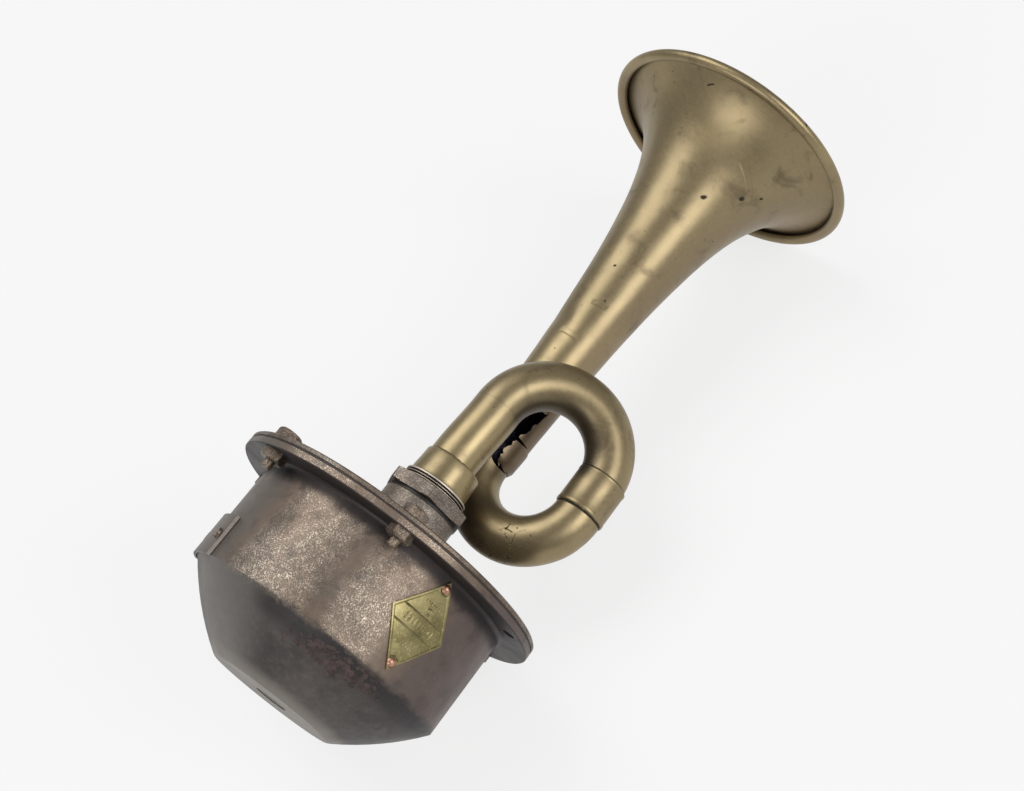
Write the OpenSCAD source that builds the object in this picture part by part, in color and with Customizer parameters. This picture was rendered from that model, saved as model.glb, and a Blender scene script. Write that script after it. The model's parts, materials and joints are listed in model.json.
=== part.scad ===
// Naval pattern horn loudspeaker: an iron driver can with a clamped diaphragm,
// and a looped brass trumpet that swivels in the can's boss and is held by a locknut.
//
// Every piece is drawn about the driver axis: Z runs from the closed end of the can
// towards the trumpet's mouth, X points at the loop, and lay_down() then turns the whole
// loudspeaker on its side, as it rests on a floor on its flange and on the trumpet's rim.

/* [Driver can] */
// Radius of the can's body
can_r = 83.2; // [78:0.1:88]
// Radius of the flat closed end
base_flat_r = 41; // [36:0.5:46]
// Height of the bowl-shaped closed end
bowl_h = 38; // [30:0.5:46]
// Wall thickness of the casting
can_wall = 4.6; // [3.5:0.1:6]
// Height of the flange's underside
flange_z = 102.7; // [98:0.1:108]
// Thickness of the can's flange
flange_t = 4.4; // [3:0.1:6]
// Radius of both flanges
flange_r = 101.6; // [98:0.1:104]
// Radius of the bolt circle
bolt_circle_r = 93.4; // [91:0.1:95]
// Radius of the flange holes
bolt_hole_r = 3.8; // [3.3:0.1:4]

/* [Cover] */
// Thickness of each gasket
gasket_t = 0.4; // [0.2:0.1:0.8]
// Thickness of the diaphragm
diaphragm_t = 0.3; // [0.2:0.1:0.5]
// Thickness of the cover plate
cover_t = 2.8; // [2:0.1:4]
// Radius of the boss on the cover
boss_r = 24; // [22:0.1:26]
// Height of the boss above the base of the can
boss_top_z = 138.2; // [134:0.1:142]

/* [Trumpet] */
// Outer radius of the trumpet's tubing
tube_r = 15.3; // [14:0.1:15.6]
// Wall thickness of the tubing
tube_wall = 1.2; // [0.8:0.1:1.5]
// Height at which the upper bend begins
upper_bend_z = 215; // [210:0.5:216]
// Height at which the lower bend begins
lower_bend_z = 194; // [192:0.5:198]
// Distance from the driver axis to the loop's far leg
loop_x = 76.2; // [74:0.1:80]
// Trumpet axis, measured towards the loop
horn_x = 14.6; // [12:0.1:16]
// Trumpet axis, measured behind the loop
horn_y = 36; // [35.5:0.1:38]
// Height of the rolled rim's centre
rim_z = 466.3; // [440:0.1:480]
// Outer radius of the rolled rim
rim_r = 88.3; // [80:0.1:92]
// Radius of the rolled bead
bead_r = 3.6; // [3:0.1:4]
// How sharply the mouth opens
flare_power = 0.647; // [0.6:0.001:0.7]
// Distance over which the mouth opens
flare_reach = 24.8; // [20:0.1:30]
// Thickness of the spun brass
bell_t = 1.0; // [0.8:0.1:1.2]

/* [Resting position] */
// Turn about the driver axis at which the loudspeaker comes to rest
roll = 54.5; // [0:0.5:90]

/* [Hidden] */
$fn = 96;
eps = 0.01;
running = 0.05;

// Colours
iron = [0.40, 0.37, 0.34];
dark_iron = [0.25, 0.24, 0.23];
red = [0.45, 0.12, 0.10];
old_brass = [0.56, 0.50, 0.38];
bright_brass = [0.72, 0.62, 0.40];
copper = [0.66, 0.42, 0.33];
fibre = [0.36, 0.20, 0.14];
steel = [0.55, 0.55, 0.56];
ebonite = [0.10, 0.10, 0.10];

// Stack of the clamped joint
lower_gasket_z = flange_z + flange_t;
diaphragm_z = lower_gasket_z + gasket_t;
upper_gasket_z = diaphragm_z + diaphragm_t;
cover_z = upper_gasket_z + gasket_t;
cover_top = cover_z + cover_t;
can_bore_r = can_r - can_wall;

// Bolts, 1/4 inch Whitworth
bolt_count = 6;
bolt_step = 360 / bolt_count;
bolt_first = -150;
empty_hole = 2;
bolt_r = 3.175;
bolt_head_h = 5.6;
bolt_flats = 13.34;
bolt_nut_h = 5.6;
bolt_tail = 4.2;

// Trumpet thread, 1 1/4 inch pipe thread
thread_r = 20.95;
thread_pitch = 2.309;
thread_depth = 1.1;
thread_top = 154;
throat_r = 12.5;
nipple_foot_z = cover_top - 1;

washer_h = 1.6;
washer_r = 22.8;
locknut_z = boss_top_z + washer_h;
locknut_h = 8.1;
locknut_flats = 49.4;
locknut_rest_turn = 29.5;

ferrule_top = 170.8;
ferrule_r = 19.2;
ferrule_lip_r = 18.4;
ferrule_seat_z = thread_top + 4;

// Loop and horn
upper_bend_r = loop_x / 2;
lower_span = norm([loop_x - horn_x, horn_y]);
lower_bend_r = lower_span / 2;
lower_turn = atan2(horn_y, horn_x - loop_x);
sleeve_z = [lower_bend_z + 0.3, upper_bend_z + 4.5];
sleeve_bore_r = tube_r + 0.35;
sleeve_r = tube_r + 1.0;
sleeve_joint_z = 205;
socket_z = [lower_bend_z + 1, 213.5];
stem_z = 206;

bead_centre_r = rim_r - bead_r;
mouth_angle = atan(flare_power * bead_centre_r / flare_reach);
mouth_r = bead_centre_r - bead_r * cos(mouth_angle);
mouth_z = rim_z + bead_r * sin(mouth_angle);
flare_top_z = mouth_z - 0.4;

// Carriage inside the can
floor_z = 7;
carriage_z = 44;
carriage_t = 5;
post_y = 30;
post_r = 3;
post_top = carriage_z + carriage_t + 12;
magnet_r = 35;
magnet_w = 18;
magnet_d = 22;
magnet_z = carriage_z + carriage_t + magnet_r;
magnet_top = magnet_z + 7;
saddle_half_w = 5;
saddle_z = magnet_z - sqrt(pow(magnet_r - magnet_w, 2) - pow(saddle_half_w, 2)) + 0.1;
saddle_h = 6;
saddle_screw_y = 17;
pole_foot_h = 4;
pole_top = diaphragm_z - 2.2;
pole_x = 11;
adjuster_head_r = 10;
adjuster_head_h = 2.6;
adjuster_head_z = 0.6;
adjuster_r = 4;
adjuster_top = carriage_z + carriage_t - 0.8;
bush_r = 8;
bush_top = 22;

// Terminal box side and cable gland
terminal_turn = -171;
terminal_z = 50.5;
terminal_w = 52;
terminal_h = 26.5;
terminal_screw_x = 21;
terminal_seat = can_r - 0.9;
terminal_head_r = 3;
terminal_post_y = 9;
gland_turn = 120;
gland_z = 64;
gland_bore_r = 4;
gland_body_r = 9;

// Nameplate
plate_turn = -63.3;
plate_z = 71.6;
plate_half_w = 19.4;
plate_half_h = 28.8;
plate_t = 1.0;
plate_rivet_z = 24.1;
plate_rivet_r = 1.5;

// ---------------------------------------------------------------- resting position
horn_down = horn_x * cos(roll) + horn_y * sin(roll);
rest_run = rim_z - flange_z;
rest_drop = horn_down + bead_centre_r - flange_r;
pitch = atan2(rest_drop, rest_run) + asin(bead_r / norm([rest_run, rest_drop]));
rest_lift = flange_r * cos(pitch) - flange_z * sin(pitch);
reach_back = -base_flat_r * sin(pitch);
reach_front = rim_z * cos(pitch) + (horn_down + bead_centre_r) * sin(pitch) + bead_r;

module lay_down() {
    translate([-(reach_back + reach_front) / 2, 0, rest_lift])
        rotate([0, 90 - pitch, 0]) rotate([0, 0, -roll]) children();
}

// ---------------------------------------------------------------- helpers
function flare(z) = mouth_r * pow(flare_reach / (flare_reach + mouth_z - z), flare_power);

// Points on an arc through two ends, bulging to the right of the way from a to b
function bulged(a, b, sag, steps) =
    let (half = norm(b - a) / 2, rad = (half * half + sag * sag) / (2 * sag),
         mid = (a + b) / 2, along = (b - a) / (2 * half), right = [along[1], -along[0]],
         centre = mid - right * (rad - sag), spread = asin(half / rad))
    [for (i = [0:steps]) let (t = -spread + 2 * spread * i / steps)
        centre + rad * (along * sin(t) + right * cos(t))];

// Points on an arc about a centre
function arc(centre, r, from, to, steps) =
    [for (i = [0:steps]) let (t = from + (to - from) * i / steps)
        centre + r * [cos(t), sin(t)]];

module ring(r_out, r_in, z0, z1) {
    difference() {
        translate([0, 0, z0]) cylinder(r = r_out, h = z1 - z0);
        translate([0, 0, z0 - 1]) cylinder(r = r_in, h = z1 - z0 + 2);
    }
}

module at_bolts(skip = true) {
    for (i = [0:bolt_count - 1])
        if (!skip || i != empty_hole)
            rotate([0, 0, bolt_first + i * bolt_step]) translate([bolt_circle_r, 0, 0]) children();
}

module bolt_holes(z0, z1) {
    at_bolts(false) translate([0, 0, z0]) cylinder(r = bolt_hole_r, h = z1 - z0);
}

module hexagon(flats, h) {
    cylinder(r = flats / sqrt(3), h = h, $fn = 6);
}

// A loop tube bent through half a turn, from the origin to [2 * bend_r, 0, 0], with a
// straight leg hanging from each end
module u_bend(bend_r, near_leg, far_leg) {
    translate([bend_r, 0, 0]) rotate([90, 0, 0])
        rotate_extrude(angle = 180) translate([bend_r, 0]) difference() {
            circle(r = tube_r);
            circle(r = tube_r - tube_wall);
        }
    if (near_leg > 0) tube(tube_r, tube_wall, -near_leg, 0);
    translate([2 * bend_r, 0, 0]) tube(tube_r, tube_wall, -far_leg, 0);
}

module tube(r_out, wall, z0, z1) {
    ring(r_out, r_out - wall, z0, z1);
}

// Places children on the can's side at a turn about its axis, their Z pointing outwards
module on_side(turn, z, r) {
    rotate([0, 0, turn]) translate([r, 0, z]) rotate([0, 90, 0]) children();
}

// ---------------------------------------------------------------- driver can
bowl = bulged([base_flat_r + 1, 1], [can_r, bowl_h], 2.3, 8);
inner_bowl = bulged([base_flat_r - 1, floor_z], [can_bore_r, bowl_h + 2], 2.1, 8);

module can_shape() {
    rotate_extrude() polygon(concat(
        [[0, 0], [base_flat_r - 1, 0]],
        [for (p = bowl) p],
        [[can_r, flange_z - 2.5]],
        arc([can_r + 2.5, flange_z - 2.5], 2.5, 180, 90, 4),
        [[flange_r - 0.6, flange_z], [flange_r, flange_z + 0.6],
         [flange_r, lower_gasket_z - 0.3], [flange_r - 0.3, lower_gasket_z],
         [can_bore_r, lower_gasket_z], [can_bore_r, bowl_h + 2.2]],
        [for (i = [8:-1:0]) inner_bowl[i]],
        [[18, floor_z], [16, floor_z + 2], [15, bush_top - 2], [14, bush_top - 1], [0, bush_top - 1]]));
}

module housing_can() color(iron) lay_down() {
    difference() {
        can_shape();
        translate([0, 0, -1])
            cylinder(r = adjuster_head_r + 0.4, h = 1 + adjuster_head_z + adjuster_head_h + 0.2);
        translate([0, 0, -1]) cylinder(r = bush_r, h = bush_top + 2);
        bolt_holes(flange_z - 4, lower_gasket_z + 1);
        for (s = [-1, 1]) translate([0, s * post_y, floor_z - 4]) cylinder(r = post_r, h = 8);
        // window behind the terminal cover, and its screw holes
        on_side(terminal_turn, terminal_z, can_bore_r - 6)
            translate([-terminal_h / 2 + 6, -terminal_screw_x + 7, 0])
                cube([terminal_h - 12, 2 * terminal_screw_x - 14, 20]);
        for (sx = [-1, 1]) on_side(terminal_turn, terminal_z, can_bore_r - 6)
            translate([0, sx * terminal_screw_x, 0]) cylinder(r = 1.6, h = 20);
        // cable gland
        on_side(gland_turn, gland_z, can_bore_r - 6) cylinder(r = gland_body_r, h = 20);
        // nameplate rivets
        for (s = [-1, 1]) on_side(plate_turn, plate_z + s * plate_rivet_z, can_bore_r - 6)
            cylinder(r = plate_rivet_r, h = 20);
    }
}

module cover_plate() color(iron) lay_down() {
    difference() {
        rotate_extrude() polygon(concat(
            [[thread_r + running, cover_z + 1.2], [60, cover_z + 1.2], [62, cover_z],
             [flange_r - 0.3, cover_z], [flange_r, cover_z + 0.3],
             [flange_r, cover_top - 0.9], [flange_r - 0.9, cover_top], [boss_r + 2, cover_top]],
            arc([boss_r + 2, cover_top + 2], 2, 270, 180, 4),
            [[boss_r, boss_top_z - 0.8], [boss_r - 0.8, boss_top_z], [thread_r + running, boss_top_z]]));
        bolt_holes(cover_z - 1, cover_top + 1);
    }
}

module gasket(z) {
    difference() {
        ring(flange_r - 0.6, can_bore_r, z, z + gasket_t);
        bolt_holes(z - 1, z + gasket_t + 1);
    }
}

module lower_gasket() color(fibre) lay_down() gasket(lower_gasket_z);

module upper_gasket() color(fibre) lay_down() gasket(upper_gasket_z);

// Hexagon head bolts, head on the cover's side, with a chamfered head
module cover_bolts() color(iron) lay_down() at_bolts() {
    translate([0, 0, cover_top]) intersection() {
        rotate([0, 0, 30]) hexagon(bolt_flats, bolt_head_h);
        union() {
            cylinder(r = bolt_flats / sqrt(3) + 0.1, h = bolt_head_h - 1.2);
            translate([0, 0, bolt_head_h - 1.2 - eps])
                cylinder(r1 = bolt_flats / sqrt(3) + 0.1, r2 = bolt_flats / 2 - 0.3, h = 1.2 + eps);
        }
    }
    translate([0, 0, flange_z - bolt_nut_h - bolt_tail])
        cylinder(r = bolt_r, h = cover_top - flange_z + bolt_nut_h + bolt_tail);
    translate([0, 0, flange_z - bolt_nut_h - bolt_tail - 0.8])
        cylinder(r1 = bolt_r - 0.8, r2 = bolt_r, h = 0.8);
}

module cover_nuts() color(iron) lay_down() at_bolts() {
    translate([0, 0, flange_z - bolt_nut_h]) difference() {
        intersection() {
            rotate([0, 0, 30]) hexagon(bolt_flats, bolt_nut_h);
            union() {
                cylinder(r1 = bolt_flats / 2 - 0.3, r2 = bolt_flats / sqrt(3) + 0.1, h = 1.1);
                translate([0, 0, 1.1 - eps]) cylinder(r = bolt_flats / sqrt(3) + 0.1, h = bolt_nut_h - 1.1);
            }
        }
        translate([0, 0, -1]) cylinder(r = bolt_r + 0.02, h = bolt_nut_h + 2);
    }
}

// ---------------------------------------------------------------- nameplate
// A diamond cut from a curved sheet that follows the can
module diamond_block(half_w, half_h, depth) {
    rotate([0, 0, plate_turn]) translate([can_r - depth, 0, plate_z])
        rotate([90, 0, 90]) linear_extrude(depth + 8)
            polygon([[half_w, 0], [0, half_h], [-half_w, 0], [0, -half_h]]);
}

module nameplate() color(bright_brass) lay_down() difference() {
    intersection() {
        ring(can_r + 0.02 + plate_t, can_r + 0.02, plate_z - 40, plate_z + 30);
        diamond_block(plate_half_w * 1.009, plate_half_h, 10);
    }
    for (s = [-1, 1]) on_side(plate_turn, plate_z + s * plate_rivet_z, can_bore_r)
        cylinder(r = plate_rivet_r, h = 20);
}

module nameplate_rivets() color(copper) lay_down() for (s = [-1, 1])
    on_side(plate_turn, plate_z + s * plate_rivet_z, can_r - can_wall) {
        cylinder(r = plate_rivet_r - 0.05, h = can_wall + plate_t + 0.3);
        translate([0, 0, can_wall + plate_t + 0.12]) intersection() {
            translate([0, 0, -1.2]) sphere(r = 3.1);
            cylinder(r = 3.2, h = 3);
        }
    }

// ---------------------------------------------------------------- terminals
module terminal_slab(r_in, r_out, trim) {
    intersection() {
        ring(r_out, r_in, terminal_z - 30, terminal_z + 30);
        rotate([0, 0, terminal_turn])
            translate([can_r - 20, -terminal_w / 2 + trim, terminal_z - terminal_h / 2 + trim])
                cube([30, terminal_w - 2 * trim, terminal_h - 2 * trim]);
    }
}

module terminal_screw_holes(r) {
    for (s = [-1, 1]) on_side(terminal_turn, terminal_z, can_r - 12)
        translate([0, s * terminal_screw_x, 0]) cylinder(r = r, h = 24);
}

module terminal_gasket() color(fibre) lay_down() difference() {
    terminal_slab(can_r + 0.02, can_r + 0.5, 0.5);
    terminal_screw_holes(1.7);
}

module terminal_cover() color(iron) lay_down() difference() {
    terminal_slab(can_r + 0.5, can_r + 2.3, 0);
    terminal_screw_holes(1.7);
    for (s = [-1, 1]) on_side(terminal_turn, terminal_z, terminal_seat)
        translate([0, s * terminal_screw_x, 0]) cylinder(r = terminal_head_r + 0.2, h = 6);
}

module terminal_cover_screws() color(steel) lay_down() for (s = [-1, 1])
    on_side(terminal_turn, terminal_z, terminal_seat + 0.05) translate([0, s * terminal_screw_x, 0]) {
        translate([0, 0, -6]) cylinder(r = 1.55, h = 6.1);
        difference() {
            cylinder(r = terminal_head_r, h = 2);
            translate([-4, -0.4, 1.2]) cube([8, 0.8, 2]);
        }
    }

module terminal_block() color(ebonite) lay_down() difference() {
    rotate([0, 0, terminal_turn]) translate([can_bore_r - 14, -16, terminal_z - 7]) cube([8, 32, 14]);
    for (s = [-1, 1]) on_side(terminal_turn, terminal_z, can_bore_r - 20)
        translate([0, s * terminal_post_y, 0]) cylinder(r = 2.05, h = 30);
}

module terminal_posts() color(bright_brass) lay_down() for (s = [-1, 1])
    on_side(terminal_turn, terminal_z, can_bore_r - 18)
        translate([0, s * terminal_post_y, 0]) cylinder(r = 2, h = 20);

module terminal_nuts() color(bright_brass) lay_down() for (s = [-1, 1])
    on_side(terminal_turn, terminal_z, can_bore_r - 5.9) translate([0, s * terminal_post_y, 0]) difference() {
        hexagon(7, 3);
        translate([0, 0, -1]) cylinder(r = 2.02, h = 6);
    }

module cable_gland() color(old_brass) lay_down() on_side(gland_turn, gland_z, can_bore_r - 4)
    difference() {
        union() {
            cylinder(r = gland_body_r - 0.05, h = can_wall + 4);
            translate([0, 0, can_wall + 4]) hexagon(22, 6);
            translate([0, 0, can_wall + 10]) cylinder(r = 8, h = 7);
        }
        translate([0, 0, -1]) cylinder(r = gland_bore_r, h = can_wall + 20);
        translate([0, 0, 2]) cylinder(r = 6, h = 8);
    }

module gland_packing() color(ebonite) lay_down() on_side(gland_turn, gland_z, can_bore_r - 4)
    translate([0, 0, 2]) ring(5.95, gland_bore_r, 0, 7.9);

// ---------------------------------------------------------------- gap adjuster and carriage
module adjuster_bush() color(old_brass) lay_down()
    ring(bush_r - 0.02, adjuster_r + running, adjuster_head_z + adjuster_head_h + 0.25, bush_top);

module guide_posts() color(steel) lay_down() for (s = [-1, 1])
    translate([0, s * post_y, floor_z - 4]) {
        cylinder(r = post_r - 0.02, h = post_top - floor_z + 4);
        translate([0, 0, post_top - floor_z + 4]) cylinder(r = post_r + 1.5, h = 2);
    }

// Each return spring is drawn as a sleeve that fills the space its coils sweep
module carriage_springs() color(steel) lay_down() for (s = [-1, 1])
    translate([0, s * post_y, 0]) ring(5.2, 3.8, floor_z, carriage_z);

module carriage_plate() color(dark_iron) lay_down() difference() {
    translate([0, 0, carriage_z]) cylinder(r = 46, h = carriage_t);
    translate([0, 0, carriage_z - 1]) cylinder(r = adjuster_r + running, h = carriage_t + 2);
    for (s = [-1, 1]) {
        translate([0, s * post_y, carriage_z - 1]) cylinder(r = post_r + running, h = carriage_t + 2);
        translate([0, s * saddle_screw_y, carriage_z - 1]) cylinder(r = 2.5, h = carriage_t + 2);
        translate([s * 40, 0, carriage_z - 1]) cylinder(r = 4, h = carriage_t + 2);
    }
}

module horseshoe_magnet() color(red) lay_down() {
    translate([0, 0, magnet_z]) rotate([90, 0, 0]) rotate([0, 0, 180])
        translate([0, 0, -magnet_d / 2]) rotate_extrude(angle = 180)
            translate([magnet_r - magnet_w, 0]) square([magnet_w, magnet_d]);
    for (x = [-magnet_r, magnet_r - magnet_w]) translate([x, -magnet_d / 2, magnet_z])
        cube([magnet_w, magnet_d, magnet_top - magnet_z]);
}

module magnet_saddle() color(old_brass) lay_down() difference() {
    translate([-saddle_half_w, -22, saddle_z]) cube([2 * saddle_half_w, 44, saddle_h]);
    for (s = [-1, 1]) translate([0, s * saddle_screw_y, saddle_z - 1]) cylinder(r = 2.5, h = saddle_h + 2);
}

module saddle_screws() color(steel) lay_down() for (s = [-1, 1]) translate([0, s * saddle_screw_y, 0]) {
    translate([0, 0, carriage_z]) cylinder(r = 2.45, h = saddle_z + saddle_h - carriage_z + 0.1);
    translate([0, 0, saddle_z + saddle_h + 0.02]) cylinder(r = 4.2, h = 3);
}

module pole_pieces() color(dark_iron) lay_down() for (s = [0, 1]) mirror([s, 0, 0]) {
    translate([pole_x - 3, -8, magnet_top + 0.02]) cube([magnet_r - pole_x + 3, 16, pole_foot_h]);
    translate([pole_x - 3, -6, magnet_top + pole_foot_h]) cube([6, 12, pole_top - magnet_top - pole_foot_h]);
}

module coil_bobbins() color(ebonite) lay_down() for (s = [-1, 1])
    translate([s * pole_x, 0, magnet_top + pole_foot_h + 0.05]) difference() {
        union() {
            translate([-4.2, -7.2, 0]) cube([8.4, 14.4, 7.4]);
            for (z = [0, 6.4]) translate([-8.4, -12, z]) cube([16.8, 24, 1]);
        }
        translate([-3.05, -6.05, -1]) cube([6.1, 12.1, 10]);
    }

module coil_windings() color(copper) lay_down() for (s = [-1, 1])
    translate([s * pole_x, 0, magnet_top + pole_foot_h + 1.1]) difference() {
        translate([-7.8, -11.2, 0]) cube([15.6, 22.4, 5.3]);
        translate([-4.25, -7.25, -1]) cube([8.5, 14.5, 8]);
    }

// Two enamelled leads run from the coils, past the magnet, to the terminal block
lead_route = [[-20.6, 0, 99], [-30, 0, 99.5], [-44, 0, 96], [-54, 0, 84], [-58, 0, 68], [-59, 0, 56]];
module lead_wires() color(copper) lay_down() for (side = [-1, 1]) rotate([0, 0, 8 + 2 * side])
    for (i = [0:len(lead_route) - 2]) hull() {
        translate(lead_route[i] + [0, side * 3, 0]) sphere(r = 0.6, $fn = 8);
        translate(lead_route[i + 1] + [0, side * 3, 0]) sphere(r = 0.6, $fn = 8);
    }

module adjusting_screw() color(old_brass) lay_down() {
    translate([0, 0, adjuster_head_z]) difference() {
        cylinder(r = adjuster_head_r, h = adjuster_head_h);
        translate([-adjuster_head_r - 1, -1.1, -1]) cube([2 * adjuster_head_r + 2, 2.2, 2.4]);
    }
    translate([0, 0, adjuster_head_z + adjuster_head_h - eps])
        cylinder(r = adjuster_r, h = adjuster_top - adjuster_head_z - adjuster_head_h);
}

module screw_collar() color(steel) lay_down() ring(7, adjuster_r + 0.01, bush_top + 0.3, bush_top + 4.3);

// ---------------------------------------------------------------- diaphragm
module diaphragm() color(dark_iron) lay_down() difference() {
    translate([0, 0, diaphragm_z]) cylinder(r = flange_r - 0.6, h = diaphragm_t);
    bolt_holes(diaphragm_z - 1, diaphragm_z + 2);
    translate([0, 0, diaphragm_z - 1]) cylinder(r = 1.5, h = 3);
}

module armature_disc() color(dark_iron) lay_down()
    ring(19, 1.5, diaphragm_z - 1.2, diaphragm_z - eps);

module armature_rivet() color(copper) lay_down() {
    translate([0, 0, diaphragm_z - 1.2]) cylinder(r = 1.45, h = 1.2 + diaphragm_t);
    translate([0, 0, diaphragm_z + diaphragm_t]) cylinder(r1 = 3, r2 = 2, h = 1);
}

// ---------------------------------------------------------------- trumpet
module threaded_nipple() color(iron) lay_down() {
    grooves = floor((thread_top - 1 - locknut_z) / thread_pitch);
    difference() {
        translate([0, 0, nipple_foot_z]) cylinder(r = thread_r, h = thread_top - nipple_foot_z);
        translate([0, 0, nipple_foot_z - 1]) cylinder(r = throat_r, h = thread_top - nipple_foot_z + 2);
        for (i = [0:grooves - 1]) rotate_extrude() {
            z = thread_top - 0.6 - i * thread_pitch;
            polygon([[thread_r + 1, z], [thread_r, z], [thread_r - thread_depth, z - 0.45 * thread_pitch],
                     [thread_r - thread_depth, z - 0.55 * thread_pitch], [thread_r, z - 0.95 * thread_pitch],
                     [thread_r + 1, z - 0.95 * thread_pitch]]);
        }
    }
}

module ferrule() color(old_brass) lay_down() rotate_extrude() polygon([
    [throat_r + 0.5, thread_top], [ferrule_r, thread_top], [ferrule_lip_r, ferrule_top - 0.8],
    [ferrule_lip_r - 0.8, ferrule_top], [tube_r + 0.02, ferrule_top], [tube_r + 0.02, ferrule_seat_z],
    [throat_r + 0.5, ferrule_seat_z]]);

module rising_tube() color(old_brass) lay_down()
    tube(tube_r, tube_wall, ferrule_seat_z + 0.02, upper_bend_z);

module upper_bend() color(old_brass) lay_down() {
    translate([0, 0, upper_bend_z]) u_bend(upper_bend_r, 0, upper_bend_z - sleeve_joint_z);
}

module joint_sleeve() color(old_brass) lay_down() translate([loop_x, 0, 0])
    ring(sleeve_r, sleeve_bore_r, sleeve_z[0], sleeve_z[1]);

module lower_bend() color(old_brass) lay_down() {
    translate([loop_x, 0, lower_bend_z]) rotate([0, 0, lower_turn]) rotate([180, 0, 0])
        u_bend(lower_bend_r, sleeve_joint_z - lower_bend_z - 0.02, stem_z - lower_bend_z - 0.2);
}

module horn_socket() color(old_brass) lay_down() translate([horn_x, horn_y, 0]) rotate_extrude()
    polygon([[tube_r + 0.02, socket_z[0]], [tube_r + 0.9, socket_z[0]], [flare(stem_z) + 0.8, stem_z],
             [flare(socket_z[1]) + 0.75, socket_z[1] - 0.6], [flare(socket_z[1]) + 0.02, socket_z[1]],
             [flare(stem_z) + 0.02, stem_z], [tube_r + 0.02, stem_z]]);

flare_steps = 30;
flare_zs = [for (i = [0:flare_steps]) stem_z + (flare_top_z - stem_z) * sin(90 * i / flare_steps)];
function flare_slope(z) = flare_power * flare(z) / (flare_reach + mouth_z - z);

module bell() color(old_brass) lay_down() translate([horn_x, horn_y, 0]) rotate_extrude() {
    centre = [bead_centre_r, rim_z];
    start = 90 + (90 - mouth_angle);
    outer = [for (z = flare_zs) [flare(z), z]];
    inner = [for (z = flare_zs) let (k = flare_slope(z), n = norm([1, k]))
        [flare(z) - bell_t / n, z + bell_t * k / n]];
    polygon(concat(outer,
        arc(centre, bead_r - bell_t + 0.15, start - 12, start - 290, 20),
        arc(centre, bead_r, start - 290, start, 24),
        [for (i = [flare_steps - 1:-1:0]) inner[i]]));
}

module rim_wire() color(dark_iron) lay_down() translate([horn_x, horn_y, rim_z])
    rotate_extrude() translate([bead_centre_r, 0]) circle(r = bead_r - bell_t - 0.15, $fn = 24);

// ---------------------------------------------------------------- locking ring
module lock_washer() color(ebonite) lay_down()
    ring(washer_r, thread_r + running, boss_top_z + 0.02, locknut_z - 0.02);

module locknut() color(iron) lay_down() difference() {
    intersection() {
        translate([0, 0, locknut_z]) rotate([0, 0, locknut_rest_turn]) hexagon(locknut_flats, locknut_h);
        rotate_extrude() polygon([[0, locknut_z], [locknut_flats / 2 + 1.6, locknut_z],
            [locknut_flats / sqrt(3) + 0.2, locknut_z + 1.2],
            [locknut_flats / sqrt(3) + 0.2, locknut_z + locknut_h - 1.2],
            [locknut_flats / 2 + 1.2, locknut_z + locknut_h], [0, locknut_z + locknut_h]]);
    }
    translate([0, 0, locknut_z - 1]) cylinder(r = thread_r + running, h = locknut_h + 2);
}

housing_can();
cover_plate();
lower_gasket();
upper_gasket();
cover_bolts();
cover_nuts();
nameplate();
nameplate_rivets();
terminal_cover();
terminal_gasket();
terminal_cover_screws();
terminal_block();
terminal_posts();
terminal_nuts();
cable_gland();
gland_packing();
adjuster_bush();
guide_posts();
carriage_springs();
lead_wires();
carriage_plate();
horseshoe_magnet();
magnet_saddle();
saddle_screws();
pole_pieces();
coil_bobbins();
coil_windings();
adjusting_screw();
screw_collar();
diaphragm();
armature_disc();
armature_rivet();
threaded_nipple();
ferrule();
rising_tube();
upper_bend();
joint_sleeve();
lower_bend();
horn_socket();
bell();
rim_wire();
lock_washer();
locknut();
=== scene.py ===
# %% [markdown]
# # A looped-trumpet loudspeaker, built as it would be on a bench
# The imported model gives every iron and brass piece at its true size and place. This lesson adds
# what makes the pieces look old and real: a torn and dented trumpet, a corroded casting, an
# embossed plate, and a finish for each metal, worked out by small pieces of shader maths.

# %% Load the fixed frame
import json
import math
import random

import bmesh
import bpy
from mathutils import Matrix, Vector, noise


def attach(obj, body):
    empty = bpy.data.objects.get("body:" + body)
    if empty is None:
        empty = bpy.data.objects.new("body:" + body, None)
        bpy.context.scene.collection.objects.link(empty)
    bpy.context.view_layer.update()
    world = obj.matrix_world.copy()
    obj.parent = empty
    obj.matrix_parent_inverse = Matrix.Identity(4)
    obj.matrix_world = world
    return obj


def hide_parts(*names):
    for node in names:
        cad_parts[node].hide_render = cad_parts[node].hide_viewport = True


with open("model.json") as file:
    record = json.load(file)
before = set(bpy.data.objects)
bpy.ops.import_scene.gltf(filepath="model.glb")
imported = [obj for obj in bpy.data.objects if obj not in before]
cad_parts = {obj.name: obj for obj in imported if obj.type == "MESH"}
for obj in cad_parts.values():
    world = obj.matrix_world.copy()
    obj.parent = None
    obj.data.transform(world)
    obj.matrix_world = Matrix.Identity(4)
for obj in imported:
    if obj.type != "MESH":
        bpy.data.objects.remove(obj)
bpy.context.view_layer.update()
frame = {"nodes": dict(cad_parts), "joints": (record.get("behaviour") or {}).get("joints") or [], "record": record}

# %% [markdown]
# ## The camera comes first
# A camera is placed by where it stands, what it looks at, how far it is tipped about its own
# line of sight, and its lens. The loudspeaker lies flat, so its slope across the picture comes
# only from standing to one side and tipping the camera.

# %% Camera
CAMERA_PLACE = Vector((-0.3492, -0.5348, 0.8377))
CAMERA_AIM = Vector((-0.0105, -0.0014, 0.1088))
CAMERA_TIP = math.radians(-23.97)
LENS_MM = 56.41


def look(place, aim, tip=0.0):
    """A matrix at place whose -Z points at aim, turned by tip about that line."""
    turn = (aim - place).to_track_quat("-Z", "Y").to_matrix().to_4x4()
    return Matrix.Translation(place) @ turn @ Matrix.Rotation(tip, 4, "Z")


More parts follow.
